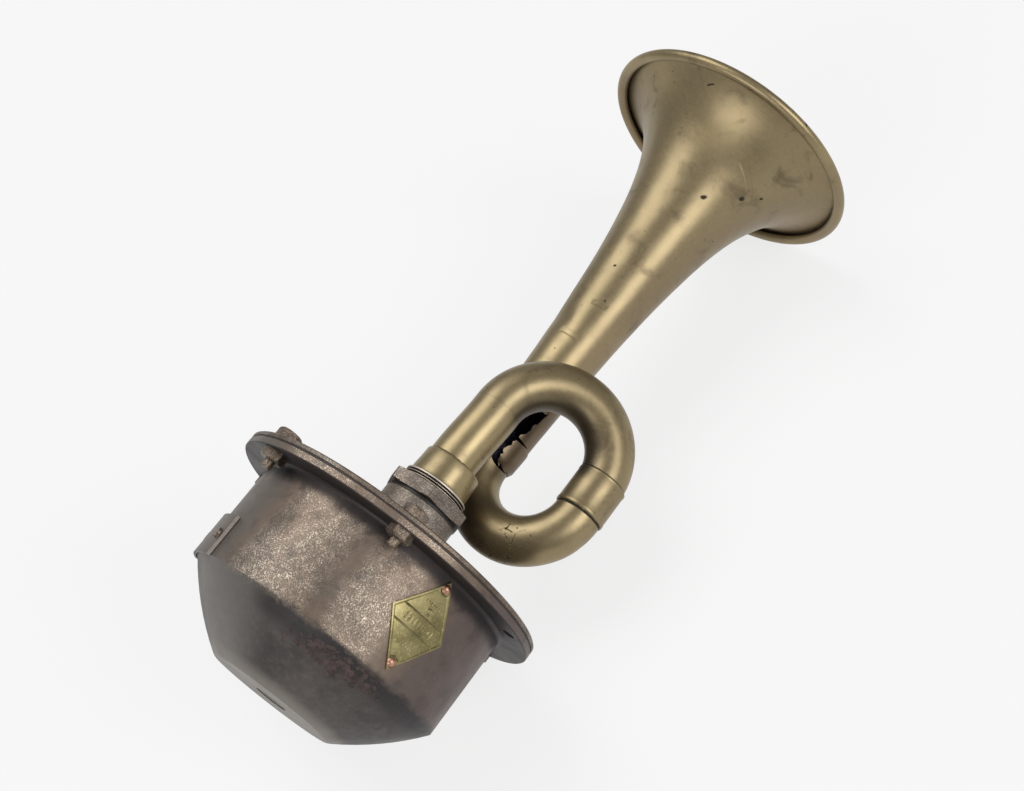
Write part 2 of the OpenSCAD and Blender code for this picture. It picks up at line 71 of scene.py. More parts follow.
camera_data = bpy.data.cameras.new("camera")
camera_data.lens = LENS_MM
camera = bpy.data.objects.new("camera", camera_data)
camera.matrix_world = look(CAMERA_PLACE, CAMERA_AIM, CAMERA_TIP)
bpy.context.scene.collection.objects.link(camera)
bpy.context.scene.camera = camera
bpy.context.scene.view_settings.view_transform = "Standard"
print("camera stands", round((CAMERA_PLACE - CAMERA_AIM).length, 3), "m away")

# %% [markdown]
# ## One bench frame for everything
# The loudspeaker was drawn about its driver axis and then laid down. Its record still knows that
# axis, from the swivel joint, and the centre of the can's closed end. From these the bench frame
# is rebuilt: Z along the axis from the closed end, X towards the loop, in millimetres.

# %% Bench frame
MM = 0.001
mounts = {mount["name"]: mount for mount in frame["record"]["mounts"]}
swivel = next(joint for joint in frame["joints"] if joint["name"] == "trumpet_swivel")
axis = Vector(swivel["axis"]).normalized()
foot = Vector(mounts["base_face"]["pos_m"])
on_axis = Vector(swivel["pos_m"])
origin = on_axis + axis * axis.dot(foot - on_axis)
loopward = (foot - origin).normalized()
turned = Matrix((loopward, axis.cross(loopward), axis)).transposed().to_4x4()
BENCH = Matrix.Translation(origin) @ turned @ Matrix.Scale(MM, 4)
mouth = BENCH.inverted() @ Vector(mounts["horn_mouth"]["pos_m"])
HORN_X, HORN_Y, RIM_Z = (round(v, 1) for v in mouth)
print("horn axis at", HORN_X, HORN_Y, "rim at", RIM_Z)

# %% [markdown]
# The trumpet opens by a power law. Its stains and its mesh both need the radius at a height, so
# the law comes before either.

# %% The trumpet's law
BEAD_R = 3.6
BEAD_CENTRE_R = 84.7
FLARE_POWER = 0.647
FLARE_REACH = 24.8
WALL = 1.0
STEM_Z = 206.0
MOUTH_ANGLE = math.degrees(math.atan(FLARE_POWER * BEAD_CENTRE_R / FLARE_REACH))
MOUTH_R = BEAD_CENTRE_R - BEAD_R * math.cos(math.radians(MOUTH_ANGLE))
MOUTH_Z = RIM_Z + BEAD_R * math.sin(math.radians(MOUTH_ANGLE))


def flare(z):
    return MOUTH_R * (FLARE_REACH / (FLARE_REACH + MOUTH_Z - z)) ** FLARE_POWER


def flare_slope(z):
    return FLARE_POWER * flare(z) / (FLARE_REACH + MOUTH_Z - z)


print("mouth radius", round(MOUTH_R, 1), "at", round(MOUTH_Z, 1))

# %% [markdown]
# ## Shader maths as plain expressions
# A node tree is a drawing of sums. A small class that stands for one socket, and knows how to be
# added and multiplied, lets the sum be written as a sum. Numbers go through Math nodes, vectors
# through Vector Math nodes, and colours through Mix nodes, because a Math node turns them grey.

# %% A signal: one socket that can be added, multiplied and compared
class Signal:
    def __init__(self, finish, socket):
        self.finish = finish
        self.socket = socket

    def sum(self, operation, first, second):
        vector = any(isinstance(s, Signal) and s.socket.type == "VECTOR" for s in (first, second))
        kind = "ShaderNodeVectorMath" if vector else "ShaderNodeMath"
        if vector:
            first, second = (
                (s,) * 3 if isinstance(s, (int, float)) else s for s in (first, second)
            )
        return self.finish.node(kind, {"operation": operation}, {0: first, 1: second})

    def __add__(self, other):
        return self.sum("ADD", self, other)

    def __radd__(self, other):
        return self.sum("ADD", other, self)

    def __sub__(self, other):
        return self.sum("SUBTRACT", self, other)

    def __rsub__(self, other):
        return self.sum("SUBTRACT", other, self)

    def __mul__(self, other):
        return self.sum("MULTIPLY", self, other)

    def __rmul__(self, other):
        return self.sum("MULTIPLY", other, self)

    def __truediv__(self, other):
        return self.sum("DIVIDE", self, other)

    def __pow__(self, other):
        return self.sum("POWER", self, other)

    def band(self, low, high):
        """0 below low and 1 above high, with a soft step between; low may be the greater."""
        return self.finish.node(
            "ShaderNodeMapRange",
            {"interpolation_type": "SMOOTHSTEP", "clamp": True},
            {"Value": self, "From Min": low, "From Max": high},
        )

    def part(self, name):
        """One of X, Y and Z of a vector."""
        return self.finish.node("ShaderNodeSeparateXYZ", {}, {"Vector": self}, out=name)


# %% [markdown]
# A finish is one material. It makes every node by a single method, which sets the node's own
# settings before its sockets, since settings such as a data type decide which sockets there are.

# %% A finish: one material and its node maker
class Finish:
    def __init__(self, name, **constants):
        self.material = bpy.data.materials.new(name)
        self.material.use_nodes = True
        self.tree = self.material.node_tree
        self.shader = self.tree.nodes["Principled BSDF"]
        for socket, value in constants.items():
            self.shader.inputs[socket.replace("_", " ")].default_value = value
        self.place = self.node("ShaderNodeTexCoord", {}, {}, out="Object")

    def node(self, kind, settings, inputs, out=0):
        made = self.tree.nodes.new(kind)
        for name, value in settings.items():
            if name == "stops":
                self.set_stops(made.color_ramp, value)
            else:
                setattr(made, name, value)
        for name, value in inputs.items():
            if isinstance(value, Signal):
                self.tree.links.new(value.socket, made.inputs[name])
            else:
                made.inputs[name].default_value = value
        return Signal(self, made.outputs[out])

    def set_stops(self, ramp, stops):
        while len(ramp.elements) < len(stops):
            ramp.elements.new(0.5)
        for element, (position, colour) in zip(ramp.elements, stops):
            element.position = position
            element.color = (*colour, 1)

    def feed(self, socket, signal):
        self.tree.links.new(signal.socket, self.shader.inputs[socket])

    def grain(self, scale, detail=4, roughness=0.55, stretch=None, warp=0.0):
        """Noise from 0 to 1; scale counts features in a metre, stretch squeezes each axis."""
        place = self.place if stretch is None else stretch
        inputs = {"Vector": place, "Scale": scale, "Detail": detail}
        inputs |= {"Roughness": roughness, "Distortion": warp}
        return self.node("ShaderNodeTexNoise", {}, inputs)

    def cells(self, scale, out="Distance"):
        """Distance to the nearest of scattered points, in cells."""
        return self.node("ShaderNodeTexVoronoi", {}, {"Vector": self.place, "Scale": scale}, out=out)

    def mix(self, factor, first, second):
        """A colour from first to second; plain colours are three numbers."""
        colours = [c if isinstance(c, Signal) else (*c, 1) for c in (first, second)]
        settings = {"data_type": "RGBA"}
        inputs = {0: factor, 6: colours[0], 7: colours[1]}
        return self.node("ShaderNodeMix", settings, inputs, out=2)

    def bump(self, height, depth_mm, under=None):
        inputs = {"Height": height, "Strength": 1.0, "Distance": depth_mm * MM}
        if under is not None:
            inputs["Normal"] = under
        return self.node("ShaderNodeBump", {}, inputs)

    def bench(self):
        """Distances along X, Y and Z of the bench frame, in millimetres."""
        from_origin = self.place - tuple(origin)
        inverse = turned.transposed()
        return [
            self.node(
                "ShaderNodeVectorMath",
                {"operation": "DOT_PRODUCT"},
                {0: from_origin, 1: tuple(inverse[row][:3])},
                out="Value",
            ) / MM
            for row in range(3)
        ]

    def around(self, x, y):
        """The turn about a line at x, y = 0, in degrees."""
        return self.node("ShaderNodeMath", {"operation": "ARCTAN2"}, {0: y, 1: x}) * math.degrees(1)

    def length(self, x, y):
        return (x * x + y * y) ** 0.5

    def line(self, value, at, half):
        """1 where a value is at a level, and 0 from half away on either side."""
        off = value - at
        return (off * off).band(half * half, 0.2 * half * half)


# %% [markdown]
# ## Aged brass
# Old spun brass is not yellow. It is a dull olive brown with paler rubbed places, brown stains
# with soft edges, and a scatter of tiny dark pits. The colour is mixed from three noises at three
# sizes, and the same noises roughen the surface a little, so stains look like stains and not paint.

# %% Brass finish
LOOP_X = 76.2
SPOTS = [
    # turn about the horn axis in degrees, height, radius of the spot, all on the bell
    (-82, 409, 2.2), (-54, 426, 2.4), (-42, 436, 1.7), (-120, 462, 1.5),
    (-97, 318, 1.0), (-118, 341, 1.0), (-93, 469, 1.1), (-85, 469, 1.2),
    (-79, 468, 1.8),
]
CREASES = [
    # turn and height of the middle of a pressed line, its reach round the bell, its slant
    (-114, 288, 8, 0.05), (-101, 314, 6, -0.12), (-66, 436, 15, 0.30),
]


def chosen_part(finish, colour):
    """One number from 0 to 1 for each cell, out of its random colour."""
    return finish.node("ShaderNodeSeparateColor", {}, {"Color": colour}, out="Red")


def make_brass(name, tone=1.0, gold=0.35, bell=False):
    olive = (0.235 * tone, 0.185 * tone, 0.104 * tone)
    golden = (0.430 * tone, 0.338 * tone, 0.180 * tone)
    umber = (0.080 * tone, 0.058 * tone, 0.038 * tone)
    black = (0.014, 0.013, 0.014)
    brass = Finish(name, Metallic=0.82, IOR=1.45)
    x, y, z = brass.bench()
    broad = brass.grain(14, 3, 0.5)
    stains = brass.grain(46, 7, 0.62, warp=0.6)
    mottle = brass.grain(420, 5, 0.6)
    rings = brass.grain(1, 3, 0.7, brass.node("ShaderNodeCombineXYZ", {}, {"Z": z * 1.6}))
    tint = brass.mix(broad.band(0.42, 0.66) * gold + mottle.band(0.35, 0.8) * 0.16, olive, golden)
    tint = brass.mix(stains.band(0.53, 0.74) * 0.62, tint, umber)
    tint = brass.mix(rings.band(0.5, 0.75) * 0.16, tint, umber)
    cell = brass.cells(210)
    chosen = brass.cells(210, out="Color")
    rare = chosen_part(brass, chosen).band(0.86, 0.9)
    pit = cell.band(0.13, 0.05) * rare
    near_loop = x.band(LOOP_X - 20, LOOP_X - 18)
    solder = brass.line(z + mottle * 0.8, 220.4, 0.5) * 0.7
    solder = solder + brass.line(z + mottle * 0.8, 194.0, 0.8)
    collar = brass.line(z + mottle + stains, 172.2, 0.6) * brass.length(x, y).band(24, 22)
    dirt = solder * near_loop + collar * 0.6
    if not bell:
        # Painted shade: the bend's leg under the socket is darkened, as if it lay in the loop's shadow.
        stem = brass.length(x - HORN_X, y - HORN_Y).band(19, 16) * z.band(176, 192)
        tint = brass.mix(stem * 0.5, tint, umber)
        # Painted shade: near black on the inner side of the loop's upper curve and on the low part of the lower
        # bend beside the ferrule.
        inside = brass.length(x - LOOP_X / 2, z - 215).band(33, 24) * z.band(208, 216)
        low_bend_shade = z.band(182, 163) * x.band(46, 24) * brass.length(x, y).band(21, 24)
        tint = brass.mix(inside * 0.75 + low_bend_shade * 0.8, tint, (0.040, 0.031, 0.026))
        veins = {"feature": "DISTANCE_TO_EDGE"}
        edge = brass.node("ShaderNodeTexVoronoi", veins, {"Vector": brass.place, "Scale": 120})
        split = edge.band(0.05, 0.02) * mottle.band(0.47, 0.54)
        split = split * z.band(168, 163) * x.band(43, 48) * x.band(66, 60)
        pit = pit + split * stains.band(0.40, 0.50)
    if bell:
        across, back = x - HORN_X, y - HORN_Y
        turn = brass.around(across, back) * (math.pi / 180) * brass.length(across, back)
        for spot_turn, spot_z, spot_r in SPOTS:
            away = brass.length(turn - math.radians(spot_turn) * flare(spot_z), z - spot_z)
            pit = pit + (away + mottle * 2.5 - 1.2).band(spot_r, spot_r * 0.4)
        # Painted shade: the bell is darkened below z 236, fading out by z 256, as if its stem lay in the loop's
        # shadow.
        tint = brass.mix(z.band(256, 236) * 0.8, tint, umber)
        tint = brass.mix(turn.band(-42, -18) * 0.35, tint, (0.200, 0.145, 0.098))
        press = 0
        for mid_turn, mid_z, reach, slant in CREASES:
            mid = math.radians(mid_turn) * flare(mid_z)
            sloped = z + (turn - mid) * slant + stains * 2 - 1
            press = brass.line(sloped, mid_z, 2.2) * brass.line(turn, mid, reach) + press
    tint = brass.mix(dirt * 0.9, tint, black)
    tint = brass.mix(pit * 0.85, tint, black)
    brass.feed("Base Color", tint)
    brass.feed("Roughness", stains * 0.18 + mottle * 0.12 + 0.24 + pit * 0.4 + dirt * 0.4)
    height = broad * 0.9 + stains * 0.10 + mottle * 0.012 + rings * 0.03 - pit * 0.12 - dirt * 0.3
    if bell:
        height = height - press * 0.2
    brass.feed("Normal", brass.bump(height, 0.9))
    return brass


brass = make_brass("aged_brass")
bright_brass = make_brass("rubbed_brass", tone=1.12, gold=0.75)
bell_brass = make_brass("bell_brass", bell=True)
print("brass nodes:", len(brass.tree.nodes))

# %% [markdown]
# ## Weathered iron
# The casting was painted, and most of the paint has gone. What is left is dark and smooth on the
# bowl, and worn on the sides down to grey metal that shows as bright grit between rust browns.
# The grit is a fine noise cut to flecks, and broad noise says how many flecks a place has. On the can
# the flecks also crowd into two bands that are painted highlights, and painted shade and painted
# light are mixed into its colour.

# %% Iron finish
BOWL_Z = 38.0
CAN_R = 83.2


def make_iron(name, wear=1.0, can=False, thread=False):
    iron = Finish(name, Metallic=0.72, IOR=1.5)
    x, y, z = iron.bench()
    broad = iron.grain(18, 4, 0.55)
    patch = iron.grain(70, 6, 0.6, warp=0.4)
    fine = iron.grain(1250, 3, 0.6)
    grit = iron.grain(2300, 2, 0.5)
    dark = (0.048, 0.039, 0.034)
    brown = (0.118, 0.086, 0.064)
    grey = (0.128, 0.108, 0.092)
    bare = (0.70, 0.61, 0.49)
    tint = iron.mix(broad.band(0.38, 0.62), brown, grey)
    tint = iron.mix(patch.band(0.45, 0.75) * 0.6, tint, dark)
    share = broad.band(0.35, 0.60) * 0.5 + patch.band(0.70, 0.35) * 0.5
    if can:
        turn = iron.around(x, y) + broad * 14 - 7
        tint = iron.mix(patch.band(0.75, 0.35) * 0.75, tint, (0.185, 0.137, 0.104))
        clump = iron.grain(230, 4, 0.65, warp=0.5)
        side = (z + patch * 9 + clump * 5 - 7).band(BOWL_Z - 3, BOWL_Z + 3)
        # Bare flecks are real wear, but they crowd into two bands at the turns where the lamps' highlights fall: a
        # painted highlight.
        wear_and_highlight = iron.line(turn, -118, 22) + iron.line(turn, -83, 14)
        wear_and_highlight = wear_and_highlight + turn.band(-30, 0) * turn.band(170, 140) * 0.4
        shaded = turn.band(-66, -48) * turn.band(10, -20)
        tint = iron.mix(shaded * 0.7, tint, (0.082, 0.064, 0.064))
        # Painted light: a paler grey down the can's left edge, as if lit from the left.
        left_edge_light = turn.band(-136, -148) * turn.band(-176, -164)
        tint = iron.mix(left_edge_light * 0.6, tint, (0.150, 0.140, 0.128))
        cloud = broad.band(0.3, 0.7) * 0.6 + clump.band(0.4, 0.7) * 0.3
        base = iron.mix(cloud, (0.040, 0.035, 0.033), (0.110, 0.095, 0.085))
        # Painted light: the bowl's left side is made paler, as if lit from the left.
        bowl_side_light = turn.band(-106, -138) * turn.band(-176, -158)
        base = iron.mix(bowl_side_light * 0.75, base, (0.190, 0.178, 0.165))
        # Painted reflection: the bowl turns paler grey near its flat end, standing for the floor's reflection.
        base = iron.mix(z.band(7, 1) * 0.7, base, (0.230, 0.205, 0.180))
        under = (z + clump * 8).band(28, 36) * turn.band(-125, -112) * turn.band(10, -25)
        base = iron.mix(under * 0.8, base, (0.022, 0.019, 0.020))
        tint = iron.mix(side, base, tint)
        share = share * (clump.band(0.36, 0.60) * 0.7 + 0.3) * side * (wear_and_highlight * 1.25 + 0.06)
        # Painted shadow: a near-black band on the can just under the flange, where the flange's shadow falls, with
        # no bare flecks in it.
        flange_shadow = (z + patch * 6).band(94, 101) * z.band(103.5, 102.9)
        tint = iron.mix(flange_shadow * 0.85, tint, (0.020, 0.018, 0.020))
        share = share * (1 - flange_shadow)
    if thread:
        out = iron.length(x, y)
        tint = iron.mix(out.band(20.6, 20.9) * 0.7, tint, bare)
        tint = iron.mix(out.band(20.6, 20.1), tint, (0.012, 0.011, 0.010))
    flecks = fine.band(0.50, 0.60) * share * wear
    specks = grit.band(0.55, 0.66) * share * wear
    tint = iron.mix(flecks * 0.50 + specks * 0.45, tint, bare)
    iron.feed("Base Color", tint)
    iron.feed("Roughness", patch * 0.25 + 0.38 - flecks * 0.10)
    height = broad * 0.5 + patch * 0.30 + (fine * 0.16 + grit * 0.06) * (share + 0.15) * wear
    iron.feed("Normal", iron.bump(height, 1.0))
    return iron


can_iron = make_iron("weathered_can", can=True)
machined_iron = make_iron("weathered_iron", wear=0.55)
thread_iron = make_iron("thread_iron", wear=0.2, thread=True)
print("iron nodes:", len(can_iron.tree.nodes))

# %% [markdown]
# ## Smaller finishes
# The other pieces are small or inside, but each still gets its own grain: rust on fasteners, a
# dull copper, oiled fibre, hard rubber, bright drawn steel, blackened soft iron and red paint.

# %% Small finishes
def make_plain(name, low, high, scale, rough, metallic, depth_mm, speckle=0.0):
    """Two colours mixed by one noise, a second finer noise for grain, and their relief."""
    plain = Finish(name, Metallic=metallic)
    broad = plain.grain(scale, 6, 0.6, warp=0.3)
    fine = plain.grain(scale * 12, 3, 0.6)
    tint = plain.mix(broad.band(0.35, 0.68), low, high)
    if speckle:
        pale = tuple(min(1.0, c * 2.6) for c in high)
        tint = plain.mix(fine.band(0.52, 0.68) * speckle, tint, pale)
    plain.feed("Base Color", tint)
    plain.feed("Roughness", broad * 0.25 + fine * 0.1 + (rough - 0.17))
    plain.feed("Normal", plain.bump(broad * 0.6 + fine * 0.4, depth_mm))
    return plain


rust = make_plain(
    "rusted_fasteners", (0.055, 0.042, 0.033), (0.185, 0.143, 0.107),
    scale=160, rough=0.42, metallic=0.75, depth_mm=0.35, speckle=0.9,
)
scab = make_plain(
    "bowl_crust", (0.016, 0.011, 0.011), (0.070, 0.046, 0.040),
    scale=260, rough=0.6, metallic=0.4, depth_mm=0.5, speckle=0.35,
)
plate_brass = make_plain(
    "plate_brass", (0.150, 0.128, 0.056), (0.270, 0.230, 0.110),
    scale=60, rough=0.36, metallic=0.9, depth_mm=0.05, speckle=0.2,
)
copper = make_plain(
    "dull_copper", (0.220, 0.110, 0.075), (0.500, 0.290, 0.200),
    scale=300, rough=0.38, metallic=0.9, depth_mm=0.08,
)
fibre = make_plain(
    "oiled_fibre", (0.020, 0.014, 0.012), (0.050, 0.032, 0.024),
    scale=400, rough=0.8, metallic=0.0, depth_mm=0.1,
)
ebonite = make_plain(
    "hard_rubber", (0.006, 0.006, 0.006), (0.020, 0.018, 0.016),
    scale=200, rough=0.5, metallic=0.0, depth_mm=0.05,
)
steel = make_plain(
    "drawn_steel", (0.300, 0.295, 0.290), (0.480, 0.475, 0.470),
    scale=250, rough=0.32, metallic=1.0, depth_mm=0.04,
)
black_iron = make_plain(
    "blackened_iron", (0.030, 0.029, 0.028), (0.070, 0.066, 0.062),
    scale=180, rough=0.5, metallic=0.7, depth_mm=0.12,
)
red_paint = make_plain(
    "red_paint", (0.180, 0.018, 0.014), (0.300, 0.036, 0.026),
    scale=90, rough=0.42, metallic=0.0, depth_mm=0.08,
)
inner_brass = make_plain(
    "inside_of_tube", (0.016, 0.019, 0.040), (0.110, 0.105, 0.165),
    scale=170, rough=0.42, metallic=0.8, depth_mm=0.3,
)

SLOT_FINISH = {
    "painted_iron": can_iron,
    "machined_iron": machined_iron,
    "fastener_iron": rust,
    "aged_brass": brass,
    "plate_brass": plate_brass,
    "copper": copper,
    "steel": steel,
    "red_magnet": red_paint,
    "fibre": fibre,
    "ebonite": ebonite,
    "soft_iron": black_iron,
}


def dress(thing, finish):
    thing.data.materials.clear()
    thing.data.materials.append(finish.material)


for subpart in frame["record"]["subparts"]:
    node = frame["nodes"][subpart["node"]]
    dress(node, SLOT_FINISH[subpart["material_slot"]])
# Painted shade: a much darker copy of the brass for the adjusting screw, as if in shadow in its recess.
shaded_screw_brass = make_brass("shaded_screw_brass", tone=0.4)
dress(frame["nodes"]["adjusting_screw"], shaded_screw_brass)
print("finished nodes:", len(frame["nodes"]))

# %% [markdown]
# ## Making meshes on the bench
# Every new piece is drawn in bench millimetres and set down in the frame by one matrix. A turned
# piece is an outline swept about an axis; a warp may then push each point, for dents and tears.

# %% Mesh helpers
def make_piece(name, points, faces, body, finish):
    mesh = bpy.data.meshes.new(name)
    mesh.from_pydata([BENCH @ Vector(p) for p in points], [], faces)
    mesh.validate()
    shell = bmesh.new()
    shell.from_mesh(mesh)
    bmesh.ops.recalc_face_normals(shell, faces=shell.faces)
    shell.to_mesh(mesh)
    shell.free()
    thing = bpy.data.objects.new(name, mesh)
    bpy.context.scene.collection.objects.link(thing)
    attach(thing, body)
    dress(thing, finish)
    smooth(thing)
    return thing


def smooth(thing, angle=40):
    thing.data.shade_smooth()
    thing.data.set_sharp_from_angle(angle=math.radians(angle))


def lathe(outline, steps, centre=(0.0, 0.0), warp=None):
    """A closed outline of (radius, height) turned about a line through centre."""
    points = []
    for step in range(steps):
        turn = 2 * math.pi * step / steps
        for radius, height in outline:
            point = Vector((radius * math.cos(turn), radius * math.sin(turn), height))
            if warp:
                point = warp(point)
            points.append(point + Vector((*centre, 0)))
    count = len(outline)
    faces = []
    for step in range(steps):
        here = step * count
        there = (step + 1) % steps * count
        for i in range(count):
            j = (i + 1) % count
            faces.append((here + i, there + i, there + j, here + j))
    return points, faces


def arc(centre, radius, start, end, steps):
    angles = [math.radians(start + (end - start) * i / steps) for i in range(steps + 1)]
    return [(centre[0] + radius * math.cos(a), centre[1] + radius * math.sin(a)) for a in angles]


# %% [markdown]
# ## The trumpet's bell
# The bell is one sheet of brass, spun to a flare and rolled over a wire at its rim. The outline
# follows the same power law as the drawing. Here it gets what years did to it: a long dent in the
# stem, a few other dents, and a slightly uneven wall that bends its highlights.

# %% Bell outline
TORN_TOP_Z = 246.0
BELL_RINGS = 70


def bell_heights():
    """Close rings up the torn stem, then rings that crowd towards the mouth."""
    low = [STEM_Z + i for i in range(int(TORN_TOP_Z - STEM_Z))]
    rise = MOUTH_Z - 0.4 - TORN_TOP_Z
    crowd = [math.sin(math.pi / 2 * i / BELL_RINGS) for i in range(BELL_RINGS + 1)]
    return low + [TORN_TOP_Z + rise * share for share in crowd]


heights = bell_heights()
outer = [(flare(z), z) for z in heights]
inner = []
for z in heights:
    slope = flare_slope(z)
    stretch = math.hypot(1, slope)
    inner.append((flare(z) - WALL / stretch, z + WALL * slope / stretch))
bead_start = 180 - MOUTH_ANGLE
bead_end = bead_start - 290
bead_centre = (BEAD_CENTRE_R, RIM_Z)
bell_outline = outer + arc(bead_centre, BEAD_R - WALL + 0.15, bead_start - 12, bead_end, 24)
bell_outline += arc(bead_centre, BEAD_R, bead_end, bead_start, 30)
bell_outline += inner[-2::-1]
print("bell outline points:", len(bell_outline))

# %% Dents of the bell
DENTS = [
    # turn about the horn axis in degrees, height, width across, length along, depth
    (-150.0, 297.0, 9.0, 7.0, 1.3),
    (-128.0, 286.0, 10.0, 3.5, 0.7),
    (-100.0, 322.0, 12.0, 16.0, 0.5),
    (-62.0, 262.0, 9.0, 10.0, 0.5),
    (-120.0, 395.0, 14.0, 10.0, 0.7),
]


def age_bell(point):
    radius = math.hypot(point.x, point.y)
    turn = math.degrees(math.atan2(point.y, point.x))
    push = 0.35 * noise.noise(point * 0.022) + 0.16 * noise.noise(point * 0.06)
    for dent_turn, dent_z, across, along, depth in DENTS:
        away = math.radians((turn - dent_turn + 180) % 360 - 180) * radius
        push -= depth * math.exp(-((away / across) ** 2) - ((point.z - dent_z) / along) ** 2)
    fade = min(1.0, max(0.0, (MOUTH_Z - 6 - point.z) / 20))
    scale = 1 + push * fade / radius
    return Vector((point.x * scale, point.y * scale, point.z))


bell_points, bell_faces = lathe(bell_outline, 168, (HORN_X, HORN_Y), age_bell)
bell = make_piece("spun_bell", bell_points, bell_faces, "trumpet", bell_brass)
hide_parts("bell")
print("bell faces:", len(bell.data.polygons))

# %% [markdown]
# ## The lower bend and the horn's socket
# The bend is a tube swept along a straight leg, half a circle and another leg. All its rings lie
# in one upright plane, so a ring needs only its centre, the way along, and the plane's normal.
# It is made again here, and not kept, because a tear will be cut through its far leg.

# %% Lower bend
TUBE_R = 15.3
TUBE_WALL = 1.2
LOWER_BEND_Z = 194.0
SLEEVE_JOINT_Z = 205.0
SPAN = math.hypot(LOOP_X - HORN_X, HORN_Y)
TO_HORN = Vector((HORN_X - LOOP_X, HORN_Y, 0)) / SPAN
UP = Vector((0, 0, 1))


def bend_path():
    """Centre and direction of every ring, from the sleeve down, round and up to the stem."""
    near = Vector((LOOP_X, 0, 0))
    path = [(near + UP * (SLEEVE_JOINT_Z - 0.02 - i), -UP) for i in range(11)]
    arc_steps = 60
    for i in range(arc_steps + 1):
        turn = math.pi * i / arc_steps
        across = SPAN / 2 * (1 - math.cos(turn))
        down = SPAN / 2 * math.sin(turn)
        way = TO_HORN * math.sin(turn) - UP * math.cos(turn)
        path.append((near + TO_HORN * across + UP * (LOWER_BEND_Z - down), way))
    far = near + TO_HORN * SPAN
    leg_steps = 16
    top = STEM_Z - 0.2
    path += [
        (far + UP * (LOWER_BEND_Z + (top - LOWER_BEND_Z) * i / leg_steps), UP)
        for i in range(1, leg_steps + 1)
    ]
    return path


def sweep_tube(path, radius, wall, steps, warp):
    """A hollow tube with closed ends along a path that stays in one upright plane."""
    normal = TO_HORN.cross(UP)
    points = []
    for shell in (radius, radius - wall):
        for centre, way in path:
            side = way.cross(normal)
            for i in range(steps):
                turn = 2 * math.pi * i / steps
                out = normal * math.cos(turn) + side * math.sin(turn)
                points.append(warp(centre + out * shell, out))
    rings = len(path)
    faces = []
    for shell in (0, rings * steps):
        for ring in range(rings - 1):
            here = shell + ring * steps
            for i in range(steps):
                j = (i + 1) % steps
                faces.append((here + i, here + j, here + steps + j, here + steps + i))
    for ring in (0, rings - 1):
        for i in range(steps):
            j = (i + 1) % steps
            here = ring * steps
            other = (rings + ring) * steps
            faces.append((here + i, here + j, other + j, other + i))
    return points, faces


def age_tube(point, out):
    return point + out * (0.22 * noise.noise(point * 0.05) + 0.07 * noise.noise(point * 0.17))


bend_points, bend_faces = sweep_tube(bend_path(), TUBE_R, TUBE_WALL, 72, age_tube)
lower_bend = make_piece("bent_lower_tube", bend_points, bend_faces, "trumpet", brass)
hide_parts("lower_bend")
print("lower bend faces:", len(lower_bend.data.polygons))

# %% Joint sleeve
sleeve_outline = [
    (TUBE_R + 0.05, 194.4), (TUBE_R + 0.6, 194.4), (TUBE_R + 0.98, 195.0), (TUBE_R + 0.98, 196.4),
    (TUBE_R + 0.75, 197.2), (TUBE_R + 0.7, 217.4), (TUBE_R + 0.98, 218.0), (TUBE_R + 0.98, 219.2),
    (TUBE_R + 0.7, 219.5), (TUBE_R + 0.05, 219.5),
]
sleeve_points, sleeve_faces = lathe(sleeve_outline, 96, (LOOP_X, 0.0))
sleeve = make_piece("rolled_sleeve", sleeve_points, sleeve_faces, "trumpet", brass)
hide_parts("joint_sleeve")
print("sleeve faces:", len(sleeve.data.polygons))

# %% [markdown]
# ## The rising tube
# The tube was soldered back into its ferrule a little off centre, and leans back into line before
# the bend. The ferrule keeps a bead of solder round the tube.

# %% Rising tube and ferrule
FERRULE_FOOT_Z = 154.0
FERRULE_TOP_Z = 170.8
TUBE_FOOT_Z = 158.1
TUBE_HEAD_Z = 214.9
TUBE_OFFSET = 1.8
LEAN_LENGTH = 40


def lean(point):
    """Shifts the tube away from the loop at its foot, and not at all where the bend begins."""
    share = max(0.0, min(1.0, (TUBE_HEAD_Z - point.z) / LEAN_LENGTH))
    return point - Vector((TUBE_OFFSET * share * share * (3 - 2 * share), 0, 0))


tube_heights = [TUBE_FOOT_Z + (TUBE_HEAD_Z - TUBE_FOOT_Z) * i / 24 for i in range(25)]
tube_outline = [(TUBE_R, z) for z in tube_heights]
tube_outline += [(TUBE_R - TUBE_WALL, z) for z in reversed(tube_heights)]
tube_points, tube_faces = lathe(tube_outline, 96, warp=lean)
rising = make_piece("leaning_tube", tube_points, tube_faces, "trumpet", brass)
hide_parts("rising_tube")

ferrule_outline = [
    (14.0, FERRULE_FOOT_Z + 0.02), (19.0, FERRULE_FOOT_Z + 0.02), (19.2, FERRULE_FOOT_Z + 0.5),
    (19.1, 158.0), (18.7, 164.0), (18.5, 169.6), (18.2, 170.4), (17.6, FERRULE_TOP_Z),
    (17.2, FERRULE_TOP_Z - 0.3), (16.6, FERRULE_TOP_Z - 0.6), (14.0, FERRULE_TOP_Z - 0.6),
]
ferrule_points, ferrule_faces = lathe(ferrule_outline, 96)
ferrule = make_piece("soldered_ferrule", ferrule_points, ferrule_faces, "trumpet", brass)
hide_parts("ferrule")
print("ferrule faces:", len(ferrule.data.polygons), "tube faces:", len(rising.data.polygons))

# %% [markdown]
# ## The locknut and its thread
# A hexagon nut is a turned blank cut back to six flats, so it is turned here with worn corners and
# then each point is drawn in to its flat. The thread's ridges are rings with sharp crests.

# %% Locknut and thread
NUT_FLATS = 49.4
NUT_TURN = 29.5
NUT_FOOT_Z = 139.82
NUT_TOP_Z = 147.88
THREAD_R = 20.95
THREAD_TOP_Z = 154.0
THREAD_FOOT_Z = 110.0
THROAT_R = 12.5
FIRST_GROOVE_Z = 147.2
RIDGE_PITCH = 1.62
GROOVE_DEPTH = 1.05
GROOVES = 4


